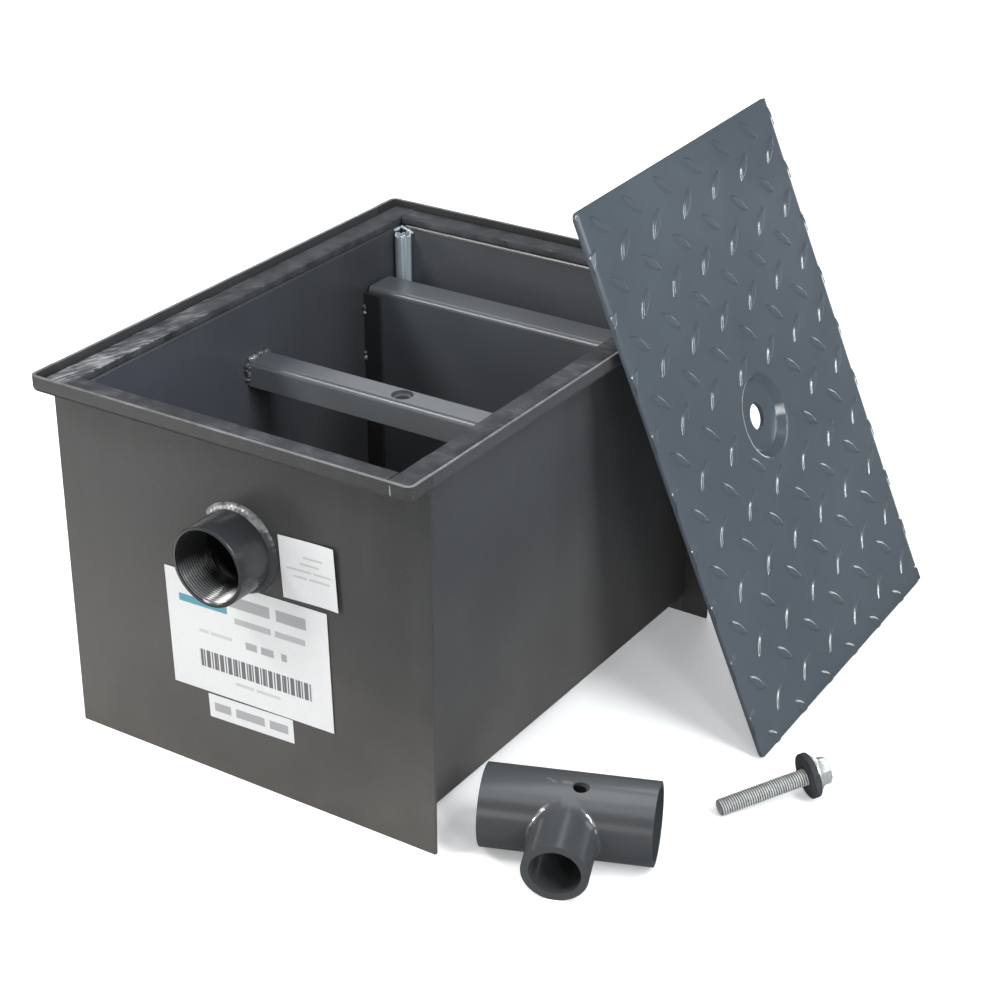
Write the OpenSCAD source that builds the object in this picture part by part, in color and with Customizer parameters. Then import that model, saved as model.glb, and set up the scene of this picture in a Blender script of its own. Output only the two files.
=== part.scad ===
// Under-sink grease trap of welded sheet steel, shown open: the bolted tread-plate cover leans
// on the rim, and the flow control fitting and the cover bolt lie beside the tank.
// Frame: floor at z = 0, outlet end plate's outer face at y = 0, tank centre plane at x = 0.

/* [Tank] */
// Width of the end plates
plate_w = 305; // [260:1:380]
// Length over the outer faces of the end plates
tank_len = 372; // [320:1:480]
// Height of the rim's top edge above the floor
rim_top = 277; // [262:1:300]
// Thickness of the tank's sheet steel
sheet_t = 2.5; // [1.5:0.1:3.5]
// Inside radius of the sheet's bends
bend_r = 2; // [1:0.1:3]
// Distance from the end plates' side edges to the side walls
side_inset = 20; // [10:1:30]
// Gap between the tank's bottom and the floor
floor_gap = 12.5; // [8:0.5:25]

/* [Rim] */
// Width of the ledge that carries the gasket, from wall face to lip face
ledge_w = 21; // [18:0.5:28]
// Height of the upturned lip, from the ledge's underside to its top edge
lip_h = 12; // [10:0.5:16]
// Radius of the lip's corners seen from above
lip_corner_r = 5.5; // [5:0.5:9]
// Thickness of the gasket strips
gasket_t = 5; // [3:0.1:5.5]
// Overhang of the side gaskets past the walls' inner faces
gasket_over = 1; // [0:0.1:2]

/* [Pipe connections] */
// Height of the inlet's and outlet's centre above the floor
pipe_z = 183.5; // [150:0.5:200]
// Bore of the half couplings before threading
coupling_bore = 49.2; // [44:0.1:52]
// Wall of the half couplings
coupling_wall = 4; // [3:0.1:6]
// Depth of the countersink at the coupling's mouth
mouth_depth = 1.6; // [1:0.1:2.5]
// Length that a coupling stands out from its end plate
coupling_out = 32.5; // [25:0.5:45]
// Leg of the fillet weld round a coupling
coupling_weld = 4.5; // [3:0.1:6]

/* [Baffles] */
// Distance from an end plate's outer face to the middle of its baffle
baffle_setback = 50; // [48:0.5:60]
// Thickness of the baffle sheet
baffle_t = 2.5; // [1.5:0.1:3.5]
// Drop of a baffle's top below the rim's top edge
baffle_drop = 46; // [40:0.5:60]
// Height of a baffle's lower edge above the floor
baffle_bottom = 60; // [45:0.5:90]
// Depth of the flange folded from a baffle's top towards its end plate
baffle_flange = 28; // [18:0.5:30]
// Depth of the guide channels, measured from the side wall
guide_d = 15; // [10:0.5:25]
// Thickness of the guide channels' sheet
guide_t = 2; // [1.5:0.1:3]
// Outer diameter of the air relief tube
relief_od = 12.7; // [8:0.1:14]
// Wall of the air relief tube
relief_wall = 1.2; // [0.8:0.1:2]
// Drop of the air relief tube's open top below the rim's top edge
relief_drop = 14; // [12:0.5:36]
// Height of the air relief tube's lower end
relief_bottom = 70; // [40:1:150]

/* [Crossbar] */
// Width of the channel that the cover bolts down to
bar_w = 25; // [22:0.5:40]
// Height of the crossbar
bar_h = 20; // [16:0.5:30]
// Drop of the crossbar's top face below the rim's top edge
bar_drop = 55; // [46:0.5:60]
// Diameter of the hole over the crossbar's nut
bar_hole = 16; // [14:0.5:18]
// Width across flats of the nut under the crossbar
nut_af = 18; // [17:0.5:19]
// Height of the nut
nut_h = 11; // [8:0.5:14]
// Leg of the fillet welds at the crossbar's ends
bar_weld = 4; // [2:0.5:6]

/* [Cover] */
// Thickness of the cover's plate under the tread
cover_t = 4; // [3:0.1:6]
// Corner radius of the cover
cover_corner_r = 5; // [1:0.5:8]
// Width of the cover's drooping margin
margin_w = 9; // [5:0.5:14]
// Drop of the margin at the cover's edge
margin_drop = 1.6; // [0.5:0.1:2]
// Length of a raised tread lens
lens_len = 27; // [18:0.5:32]
// Width of a raised tread lens
lens_w = 8; // [5:0.5:10]
// Height of a raised tread lens
lens_h = 1.5; // [1:0.1:2.2]
// Angle of the lenses to the cover's width
lens_angle = 42; // [35:1:50]
// Spacing of the lenses within a row
lens_pitch = 46.6; // [38:0.1:60]
// Spacing of neighbouring rows of lenses
row_pitch = 21.3; // [19:0.1:30]
// Place of the pattern across the cover
lens_shift = 11.8; // [-20:0.1:20]
// Distance of the top row from the cover's upper edge
top_row_inset = 14.5; // [8:0.5:24]
// Diameter of the bolt recess at its rim
dish_d = 66; // [60:0.5:80]
// Diameter of the recess's flat bottom
dish_flat = 48; // [38:0.5:50]
// Depth of the recess
dish_depth = 7; // [5:0.5:12]
// Diameter of the bolt hole in the recess
cover_hole = 19.5; // [15:0.5:24]

/* [Cover bolt] */
// Thread diameter of the bolt
bolt_d = 12; // [10:0.1:13]
// Length of the bolt under its flange
bolt_len = 70; // [62:0.5:90]
// Width across flats of the bolt's head
bolt_af = 18; // [16:0.5:20]
// Height of the cone between the bolt's flange and its hexagon
bolt_cone_h = 3.9; // [2:0.1:5]
// Height of the bolt's head with its flange
bolt_head_h = 11; // [8:0.5:14]
// Diameter of the bolt's flange
bolt_flange_d = 26; // [22:0.5:29]
// Thickness of the bolt's flange at its edge
bolt_flange_t = 2; // [1.5:0.1:3]
// Outer diameter of the rubber sealing washer
washer_d = 32; // [30:0.5:40]
// Thickness of the rubber sealing washer
washer_t = 5; // [3:0.1:7]

/* [Flow control fitting] */
// Outer diameter of the fitting's run
run_od = 56; // [55:0.5:66]
// Wall of the run
run_wall = 3.5; // [2.5:0.1:5]
// Length of the run
run_len = 114.5; // [95:0.5:150]
// Outer diameter of the branch
branch_od = 44.5; // [40:0.1:47]
// Wall of the branch
branch_wall = 5.2; // [4:0.05:8]
// Reach of the branch from the run's axis
branch_reach = 58.5; // [50:0.5:75]
// Thickness of the weld round the branch's root
branch_weld = 3; // [2:0.5:3.5]
// Height that the weld climbs up the branch above the run
branch_weld_rise = 6; // [3:0.5:9]
// Diameter of the air intake hole
air_hole_d = 9; // [6:0.5:12]
// Distance of the air intake hole from the branch, along the run
air_hole_shift = 8; // [0:0.5:14]
// Diameter of the orifice that limits the flow
orifice_d = 20; // [12:0.5:28]
// Thickness of the orifice plate
orifice_t = 3; // [2:0.1:5]
// Distance of the orifice plate from the run's far end
orifice_set = 20; // [8:0.5:30]

/* [Where the loose pieces lie] */
// Distance of the leaning cover's foot from the rim's side lip
cover_out = 118.2; // [80:0.1:150]
// Distance of the leaning cover's middle past the inlet end plate
cover_past = -6; // [-20:0.5:10]
// Turn of the leaning cover against the tank's side
cover_yaw = 2.6; // [0:0.1:5]
// Distance of the fitting's middle from the outlet end plate's side edge
fitting_out = 70.5; // [66:0.5:90]
// Distance of the fitting's middle behind the outlet end plate
fitting_y = 53.5; // [20:0.5:90]
// Turn of the fitting's run
fitting_yaw = 21.4; // [0:0.1:40]
// Distance of the bolt's tip from the outlet end plate's side edge
bolt_out = 133.8; // [125:0.1:170]
// Distance of the bolt's tip behind the outlet end plate
bolt_y = 141; // [120:0.5:150]
// Turn of the bolt
bolt_yaw = 53.6; // [30:0.1:70]

/* [Clearances] */
// Gap between the closed cover and a side lip
cover_side_gap = 0.75; // [0.5:0.05:2]
// Gap between the closed cover and an end lip
cover_end_gap = 2.5; // [1:0.1:4]
// Gap on each side of a baffle in its guides
slide_gap = 0.5; // [0.3:0.05:1]
// Gap between a piece and the stop or lip that it rests on
seat_gap = 0.3; // [0.2:0.05:0.5]
// Gap round pieces that are welded or pressed into a hole
weld_gap = 0.1; // [0.05:0.01:0.2]

/* [Hidden] */
$fn = 48;
e = 0.01;
bend_o = bend_r + sheet_t;
wall_x = plate_w / 2 - side_inset;
inner_x = wall_x - sheet_t;
lip_x = wall_x + ledge_w;
ledge_z = rim_top - lip_h;
ledge_top = ledge_z + sheet_t;
coupling_len = coupling_out + sheet_t;
coupling_od = coupling_bore + 2 * coupling_wall;
weld_bulge = 0.6;
gasket_edge = bend_o + weld_gap * 2;
rim_corner_r = max(lip_corner_r, gasket_edge + weld_gap);
gasket_corner_r = rim_corner_r - gasket_edge;
baffle_bend_o = bend_r + baffle_t;
baffle_half_w = inner_x - guide_t - slide_gap;
guide_w = baffle_t + 2 * slide_gap + 2 * guide_t;
baffle_top = rim_top - baffle_drop;
relief_top = rim_top - relief_drop;
bar_top = rim_top - bar_drop;
guide_top = baffle_top - baffle_bend_o - seat_gap;
guide_bottom = baffle_bottom - seat_gap - guide_t;
bar_nut_z = bar_top - sheet_t;
thread_core = 0.85;
nut_bore = bolt_d * thread_core;
cover_w = 2 * (lip_x - sheet_t - cover_side_gap);
cover_len = tank_len + 2 * (ledge_w - sheet_t - cover_end_gap);
top_row = cover_len - top_row_inset;
dish_y = cover_len / 2;
press_thinning = 0.9;
dish_sheet = cover_t * press_thinning;
dish_round = 4;
lens_side = (lens_len * lens_len - lens_w * lens_w) / (4 * lens_w);
lens_ground = lens_side + lens_w / 2;
lens_wear = 1.6;
lens_peak = lens_wear * lens_h;
lens_sink = (lens_len * lens_len / 4 - lens_peak * lens_peak) / (2 * lens_peak);
lens_ball = sqrt(lens_ground * lens_ground + lens_sink * lens_sink);
bolt_tip_h = 1;
bolt_tip_r = bolt_d / 2 - bolt_tip_h;
bolt_x = plate_w / 2 + bolt_out;
washer_at = bolt_len - washer_t;
bolt_tilt = atan2((washer_d - bolt_d) / 2, washer_at - bolt_tip_h);
run_bore = run_od - 2 * run_wall;
branch_bore = branch_od - 2 * branch_wall;
branch_diag = sqrt(branch_reach * branch_reach + branch_od * branch_od / 4);
fitting_tilt = asin(run_od / 2 / branch_diag) - atan2(branch_od / 2, branch_reach);
fitting_x = plate_w / 2 + fitting_out;
air_hole_turn = 10;
air_hole_slant = 35;
cover_foot_x = lip_x + cover_out;
cover_foot_y = tank_len + cover_past;
lip_corner_x = lip_x - rim_corner_r;
lip_corner_y = tank_len + ledge_w - rim_corner_r;
lean_reach = (cover_foot_x - lip_corner_x) * cos(cover_yaw)
    + (cover_foot_y - lip_corner_y) * sin(cover_yaw) - rim_corner_r;
cover_lean = atan2(lean_reach, rim_top)
    - asin(seat_gap / sqrt(lean_reach * lean_reach + rim_top * rim_top));
paint = [0.27, 0.28, 0.29];
paint_cover = [0.33, 0.36, 0.39];
rubber = [0.08, 0.08, 0.09];
zinc = [0.74, 0.76, 0.77];
bare_weld = [0.5, 0.52, 0.53];

// Points of a circular arc, for revolved outlines
function arc(centre, r, from, to, steps = 5) =
    [for (i = [0:steps]) centre + r * [cos(from + (to - from) * i / steps), sin(from + (to - from) * i / steps)]];

// Extrudes an outline drawn in x and z along y
module along_y(len) {
    translate([0, len, 0]) rotate([90, 0, 0]) linear_extrude(len) children();
}

// Extrudes an outline drawn in y and z along x, centred on the tank
module along_x(len) {
    translate([-len / 2, 0, 0]) rotate([90, 0, 90]) linear_extrude(len) children();
}

// One bend of sheet, seen end on: a quarter ring in the first quadrant
module bend(thick) {
    intersection() {
        difference() {
            circle(bend_r + thick);
            circle(bend_r);
        }
        square(bend_r + thick);
    }
}

// Flat bar outline between two corners
module bar(x0, y0, x1, y1) {
    translate([x0, y0]) square([x1 - x0, y1 - y0]);
}

// Upturned lip with its bend, outer face at x = 0 and the ledge reaching in to -reach
module lip_outline(reach) {
    bar(-reach, ledge_z, -bend_o, ledge_top);
    translate([-bend_o, ledge_z + bend_o]) mirror([0, 1]) bend(sheet_t);
    bar(-sheet_t, ledge_z + bend_o, 0, rim_top);
}

// Wall with its outward bend under the ledge, outer face at x = 0
module wall_outline(bottom_z) {
    bar(-sheet_t, bottom_z, 0, ledge_z - bend_r);
    translate([bend_r, ledge_z - bend_r]) mirror([1, 0]) bend(sheet_t);
}

// Outline of one side of the folded wrap
module wrap_half() {
    bar(0, floor_gap, wall_x - bend_o, floor_gap + sheet_t);
    translate([wall_x - bend_o, floor_gap + bend_o]) mirror([0, 1]) bend(sheet_t);
    translate([wall_x, 0]) wall_outline(floor_gap + bend_o);
    translate([lip_x, 0]) lip_outline(ledge_w - bend_r);
}

// Bottom, side walls, side ledges and side lips, folded from one sheet
module tank_wrap() {
    color(paint)
    translate([0, sheet_t, 0])
    along_y(tank_len - 2 * sheet_t) {
        wrap_half();
        mirror([1, 0]) wrap_half();
    }
}

// Lip and ledge round one front corner of an end plate
module rim_corner() {
    translate([lip_corner_x, rim_corner_r - ledge_w, 0]) {
        rotate([0, 0, -90])
        rotate_extrude(angle = 90)
        intersection() {
            translate([rim_corner_r, 0]) lip_outline(rim_corner_r);
            bar(0, 0, rim_corner_r, rim_top);
        }
        along_y(ledge_w - rim_corner_r + sheet_t)
        translate([rim_corner_r, 0]) lip_outline(rim_corner_r);
    }
}

// End plate down to the floor, with its ledge and lip folded outwards at the top
module end_plate() {
    color(paint)
    difference() {
        union() {
            along_x(plate_w) mirror([1, 0]) wall_outline(0);
            along_x(2 * lip_corner_x) translate([-ledge_w, 0]) mirror([1, 0]) lip_outline(ledge_w - bend_r);
            rim_corner();
            mirror([1, 0, 0]) rim_corner();
        }
        translate([0, -e, pipe_z])
        rotate([-90, 0, 0]) cylinder(d = coupling_od + 2 * weld_gap, h = sheet_t + 2 * e);
    }
}

// Half coupling through the outlet end plate, with a countersunk mouth
module half_coupling() {
    color(paint)
    translate([0, -coupling_out, pipe_z])
    rotate([-90, 0, 0])
    difference() {
        cylinder(d = coupling_od, h = coupling_len);
        translate([0, 0, -e]) cylinder(d = coupling_bore, h = coupling_len + 2 * e);
        translate([0, 0, -e])
        cylinder(d1 = coupling_bore + 2 * (mouth_depth + e), d2 = coupling_bore, h = mouth_depth + e);
    }
}

// Fillet weld round the coupling on the plate's outer face
module coupling_weld_ring() {
    root_r = coupling_od / 2 + weld_gap;
    bulge = coupling_weld * weld_bulge;
    color(bare_weld)
    translate([0, 0, pipe_z])
    rotate([90, 0, 0])
    rotate_extrude()
    polygon([[root_r, 0], [root_r + coupling_weld, 0], [root_r + bulge, bulge], [root_r, coupling_weld]]);
}

// Puts the inlet's pieces opposite the outlet's
module at_inlet() {
    translate([0, tank_len, 0]) mirror([0, 1, 0]) children();
}

// Channel across the tank, open below, that the cover bolts down to
module crossbar() {
    side = bar_w / 2;
    color(paint)
    difference() {
        translate([0, tank_len / 2, 0])
        along_x(2 * inner_x)
        for (way = [0, 1]) mirror([way, 0]) {
            bar(-e, bar_nut_z, side - bend_o, bar_top);
            translate([side - bend_o, bar_top - bend_o]) bend(sheet_t);
            bar(side - sheet_t, bar_top - bar_h, side, bar_top - bend_o);
        }
        translate([0, tank_len / 2, bar_nut_z - e]) cylinder(d = bar_hole, h = sheet_t + 2 * e);
    }
}

// Nut welded under the crossbar
module crossbar_nut() {
    color(zinc)
    translate([0, tank_len / 2, bar_nut_z - nut_h])
    difference() {
        cylinder(d = nut_af / cos(30), h = nut_h, $fn = 6);
        translate([0, 0, -e]) cylinder(d = nut_bore, h = nut_h + 2 * e);
    }
}

// Fillet welds that hold the crossbar to both side walls
module crossbar_welds() {
    side = bar_w / 2;
    leg = [[0, 0], [bar_weld, 0], [0, bar_weld]];
    color(bare_weld)
    for (way = [0, 1]) mirror([way, 0, 0])
    translate([-inner_x, tank_len / 2, 0]) {
        translate([0, -side + bend_o, bar_top]) along_y(bar_w - 2 * bend_o) polygon(leg);
        for (face = [0, 1]) mirror([0, face, 0])
        translate([0, side, bar_top - bar_h]) linear_extrude(bar_h - bend_o) polygon(leg);
    }
}

// Upright channel on the left wall that a baffle slides in, closed by a stop at its lower end
module baffle_guide() {
    color(paint)
    translate([-inner_x, baffle_setback - guide_w / 2, guide_bottom]) {
        cube([guide_t, guide_w, guide_top - guide_bottom]);
        for (leg_y = [0, guide_w - guide_t])
        translate([0, leg_y, 0]) cube([guide_d, guide_t, guide_top - guide_bottom]);
        cube([guide_d, guide_w, guide_t]);
    }
}

// Lift-out baffle with a flange folded from its top towards the end plate
module baffle() {
    face = baffle_setback + baffle_t / 2;
    color(paint_cover)
    along_x(2 * baffle_half_w) {
        bar(face - baffle_t, baffle_bottom, face, baffle_top - baffle_bend_o);
        translate([face - baffle_bend_o, baffle_top - baffle_bend_o]) bend(baffle_t);
        bar(face - baffle_flange, baffle_top - baffle_t, face - baffle_bend_o, baffle_top);
    }
}

// Open tube in the corner behind the inlet baffle
module air_relief_tube() {
    corner = relief_od / 2 + weld_gap;
    color(zinc)
    translate([-inner_x + corner, tank_len - sheet_t - corner, relief_bottom])
    difference() {
        cylinder(d = relief_od, h = relief_top - relief_bottom);
        translate([0, 0, -e])
        cylinder(d = relief_od - 2 * relief_wall, h = relief_top - relief_bottom + 2 * e);
    }
}

// Flat strip with rounded corners, from one corner point to the other
module strip(x0, y0, x1, y1, r) {
    bar(x0 + r, y0, x1 - r, y1);
    bar(x0, y0 + r, x1, y1 - r);
    for (x = [x0 + r, x1 - r], y = [y0 + r, y1 - r]) translate([x, y]) circle(r);
}

// Gasket strip on the left ledge, as long as the rim
module gasket_side() {
    color(rubber)
    translate([0, 0, ledge_top])
    linear_extrude(gasket_t)
    strip(-lip_x + gasket_edge, gasket_edge - ledge_w, gasket_over - inner_x,
        tank_len + ledge_w - gasket_edge, gasket_corner_r);
}

// Gasket strip on the outlet ledge, between the side strips and flush with the plate's inner face
module gasket_end() {
    end_x = inner_x - gasket_over - weld_gap;
    color(rubber)
    translate([0, 0, ledge_top])
    linear_extrude(gasket_t)
    bar(-end_x, gasket_edge - ledge_w, end_x, sheet_t);
}

// One raised lens of the tread: what two large balls have in common, worn flat on top
module lens() {
    root = margin_drop + e;
    intersection() {
        translate([0, lens_side, -lens_sink]) sphere(lens_ball);
        translate([0, -lens_side, -lens_sink]) sphere(lens_ball);
        translate([-lens_len, -lens_w, -root]) cube([2 * lens_len, 2 * lens_w, root + lens_h]);
    }
}

// Lenses of one row direction, kept clear of the recess; either those inside the cover's outline
// or those that its edges cut through
module lens_rows(first_row, shift, angle, cut) {
    reach = lens_len / 2;
    half = cover_w / 2;
    for (k = [0 : floor((first_row + reach) / (2 * row_pitch))])
    for (i = [ceil((-half - reach - shift) / lens_pitch) : floor((half + reach - shift) / lens_pitch)]) {
        x = shift + i * lens_pitch;
        y = first_row - k * 2 * row_pitch;
        way = [cos(angle), sin(angle)];
        to_dish = [-x, dish_y - y];
        near = norm(to_dish - way * max(-reach, min(reach, to_dish * way)));
        inside = abs(x) < half - reach && y > reach && y < cover_len - reach;
        if (inside != cut && near > dish_d / 2 + lens_w / 4)
            translate([x, y, cover_t]) rotate([0, 0, angle]) lens();
    }
}

// The whole tread pattern: rows that lean one way between rows that lean the other way
module tread(cut) {
    lens_rows(top_row, lens_shift, -lens_angle, cut);
    lens_rows(top_row - row_pitch, lens_shift - lens_pitch / 2, lens_angle, cut);
}

// Revolved section of the bolt recess, pressed down from the plate
module dish_outline() {
    low = cover_t - dish_depth;
    rim_r = dish_d / 2;
    slope = atan2(dish_depth, (dish_d - dish_flat) / 2);
    top_arc = arc([rim_r, cover_t - dish_round], dish_round, 90, 90 + slope);
    foot_arc = arc([dish_flat / 2, low + dish_round], dish_round, 270 + slope, 270);
    polygon(concat(
        [[rim_r + dish_round, cover_t - dish_sheet], [rim_r + dish_round, cover_t]],
        top_arc, foot_arc,
        [[cover_hole / 2, low], [cover_hole / 2, low - dish_sheet]],
        arc([dish_flat / 2, low + dish_round], dish_round + dish_sheet, 270, 270 + slope),
        [[rim_r + dish_sheet / 2, cover_t - dish_sheet]]));
}

// The cover's outline up to a height, drooping at both sides and at the foot
module drooping_plate(top) {
    half = cover_w / 2;
    edge_z = top - margin_drop;
    difference() {
        linear_extrude(top) strip(-half, 0, half, cover_len, cover_corner_r);
        for (way = [0, 1]) mirror([way, 0, 0])
        translate([0, -e, 0])
        along_y(cover_len + 2 * e)
        polygon([[half - margin_w, top], [half + e, edge_z], [half + e, top + e], [half - margin_w, top + e]]);
        along_x(cover_w + 2 * e)
        polygon([[margin_w, top], [-e, edge_z], [-e, top + e], [margin_w, top + e]]);
    }
}

// Plate of the cover with the hole for its recess, lying on its back face
module cover_blank() {
    difference() {
        drooping_plate(cover_t);
        translate([0, dish_y, -e]) cylinder(r = dish_d / 2 + dish_round / 2, h = cover_t + 2 * e);
    }
}

// Tread-plate cover lying flat, tread up, foot edge on y = 0
module cover_flat() {
    cover_blank();
    tread(false);
    intersection() {
        tread(true);
        drooping_plate(cover_t + lens_h);
    }
    translate([0, dish_y, 0]) rotate_extrude() dish_outline();
}

// Cover standing on the floor, its back against the rim's far corner
module cover_plate() {
    color(paint_cover)
    translate([cover_foot_x, cover_foot_y, 0])
    rotate([0, 0, 90 + cover_yaw])
    rotate([90 - cover_lean, 0, 0])
    cover_flat();
}

// Puts the bolt's pieces on the floor, resting on the washer's rim and the shank's end
module lay_bolt() {
    translate([bolt_x, bolt_y, bolt_d / 2 * cos(bolt_tilt) - bolt_tip_h * sin(bolt_tilt)])
    rotate([0, 0, bolt_yaw])
    rotate([0, 90 - bolt_tilt, 0])
    children();
}

// Hexagon bolt with a flange, its tip at the origin
module cover_bolt() {
    color(zinc)
    lay_bolt() {
        cylinder(r1 = bolt_tip_r, r2 = bolt_d / 2, h = bolt_tip_h);
        translate([0, 0, bolt_tip_h]) cylinder(d = bolt_d, h = bolt_len - bolt_tip_h);
        translate([0, 0, bolt_len]) cylinder(d = bolt_flange_d, h = bolt_flange_t);
        translate([0, 0, bolt_len + bolt_flange_t])
        cylinder(d1 = bolt_flange_d, d2 = bolt_af, h = bolt_cone_h);
        translate([0, 0, bolt_len])
        intersection() {
            cylinder(d = bolt_af / cos(30), h = bolt_head_h, $fn = 6);
            cylinder(r1 = bolt_af / 2 + bolt_head_h, r2 = bolt_af / 2 - e, h = bolt_head_h + e);
        }
    }
}

// Rubber washer on the bolt, under its flange
module sealing_washer() {
    color(rubber)
    lay_bolt()
    translate([0, 0, washer_at])
    difference() {
        cylinder(d = washer_d, h = washer_t - weld_gap);
        translate([0, 0, -e]) cylinder(d = bolt_d + 2 * weld_gap, h = washer_t + 2 * e);
    }
}

// Puts the flow control fitting on the floor, resting on its run and its branch's mouth
module lay_fitting() {
    translate([fitting_x, fitting_y, run_od / 2])
    rotate([0, 0, fitting_yaw])
    rotate([fitting_tilt, 0, 0])
    children();
}

// Round bar along the fitting's run, centred on the branch
module along_run(d, len) {
    rotate([0, 90, 0]) cylinder(d = d, h = len, center = true);
}

// Run of the fitting: a tube with the branch's opening and a slanted air intake hole
module flow_control_run() {
    color(paint_cover)
    lay_fitting()
    difference() {
        along_run(run_od, run_len);
        along_run(run_bore, run_len + 2 * e);
        rotate([90, 0, 0]) cylinder(d = branch_bore, h = run_od);
        rotate([air_hole_turn, 0, 0])
        translate([air_hole_shift, 0, run_od / 2])
        rotate([0, air_hole_slant, 0]) cylinder(d = air_hole_d, h = run_od / 2, center = true);
    }
}

// Branch of the fitting, saddle-cut to the run
module flow_control_branch() {
    color(paint_cover)
    lay_fitting()
    difference() {
        rotate([90, 0, 0]) cylinder(d = branch_od, h = branch_reach);
        rotate([90, 0, 0]) cylinder(d = branch_bore, h = branch_reach + e);
        along_run(run_od + 2 * weld_gap, run_len);
    }
}

// Weld round the branch's root, sloping down to the branch
module flow_control_weld() {
    root_d = branch_od + 2 * branch_weld;
    saddle = sqrt(run_od * run_od - branch_od * branch_od) / 2;
    slope_h = run_od / 2 + branch_weld_rise - saddle;
    color(paint_cover)
    lay_fitting()
    difference() {
        rotate([90, 0, 0]) {
            cylinder(d = root_d, h = saddle);
            translate([0, 0, saddle]) cylinder(d1 = root_d, d2 = branch_od + 3 * weld_gap, h = slope_h);
        }
        rotate([90, 0, 0]) cylinder(d = branch_od + 2 * weld_gap, h = branch_reach);
        along_run(run_od + 2 * weld_gap, run_len);
    }
}

// Plate inside the run whose hole limits the flow into the tank
module orifice_plate() {
    color(zinc)
    lay_fitting()
    translate([orifice_set + orifice_t / 2 - run_len / 2, 0, 0])
    difference() {
        along_run(run_bore - 2 * weld_gap, orifice_t);
        along_run(orifice_d, orifice_t + 2 * e);
    }
}

tank_wrap();
end_plate();  // outlet_end_plate
at_inlet() end_plate();  // inlet_end_plate
half_coupling();  // outlet_coupling
at_inlet() half_coupling();  // inlet_coupling
coupling_weld_ring();  // outlet_coupling_weld
at_inlet() coupling_weld_ring();  // inlet_coupling_weld
crossbar();
crossbar_nut();
crossbar_welds();
at_inlet() baffle_guide();  // inlet_guide_left
at_inlet() mirror([1, 0, 0]) baffle_guide();  // inlet_guide_right
at_inlet() baffle();  // inlet_baffle
baffle_guide();  // outlet_guide_left
mirror([1, 0, 0]) baffle_guide();  // outlet_guide_right
baffle();  // outlet_baffle
air_relief_tube();
gasket_side();  // gasket_left
mirror([1, 0, 0]) gasket_side();  // gasket_right
gasket_end();  // gasket_front
at_inlet() gasket_end();  // gasket_back
cover_plate();
cover_bolt();
sealing_washer();
flow_control_run();
flow_control_branch();
flow_control_weld();
orifice_plate();
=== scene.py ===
import math
import random

import bmesh
import bpy
from mathutils import Matrix, Vector


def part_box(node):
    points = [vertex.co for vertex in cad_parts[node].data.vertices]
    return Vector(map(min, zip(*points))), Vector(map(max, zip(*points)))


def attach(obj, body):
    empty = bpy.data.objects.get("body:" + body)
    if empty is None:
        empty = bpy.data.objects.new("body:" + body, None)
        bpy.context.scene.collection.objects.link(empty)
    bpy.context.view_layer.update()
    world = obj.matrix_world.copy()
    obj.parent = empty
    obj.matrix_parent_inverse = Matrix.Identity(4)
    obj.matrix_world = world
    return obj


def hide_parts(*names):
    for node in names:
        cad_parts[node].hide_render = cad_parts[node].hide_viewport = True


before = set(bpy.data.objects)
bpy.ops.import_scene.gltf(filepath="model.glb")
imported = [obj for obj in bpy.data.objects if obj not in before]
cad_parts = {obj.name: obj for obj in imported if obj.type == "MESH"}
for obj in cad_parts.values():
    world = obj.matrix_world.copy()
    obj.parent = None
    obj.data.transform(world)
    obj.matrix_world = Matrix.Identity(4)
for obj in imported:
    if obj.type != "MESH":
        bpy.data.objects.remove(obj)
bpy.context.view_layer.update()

# The tank: bottom, side walls and rim folded from one sheet, and two end plates that reach the floor.
# Mild steel 2.5 mm thick, welded at the seams, sprayed inside and out with satin charcoal paint.


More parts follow.
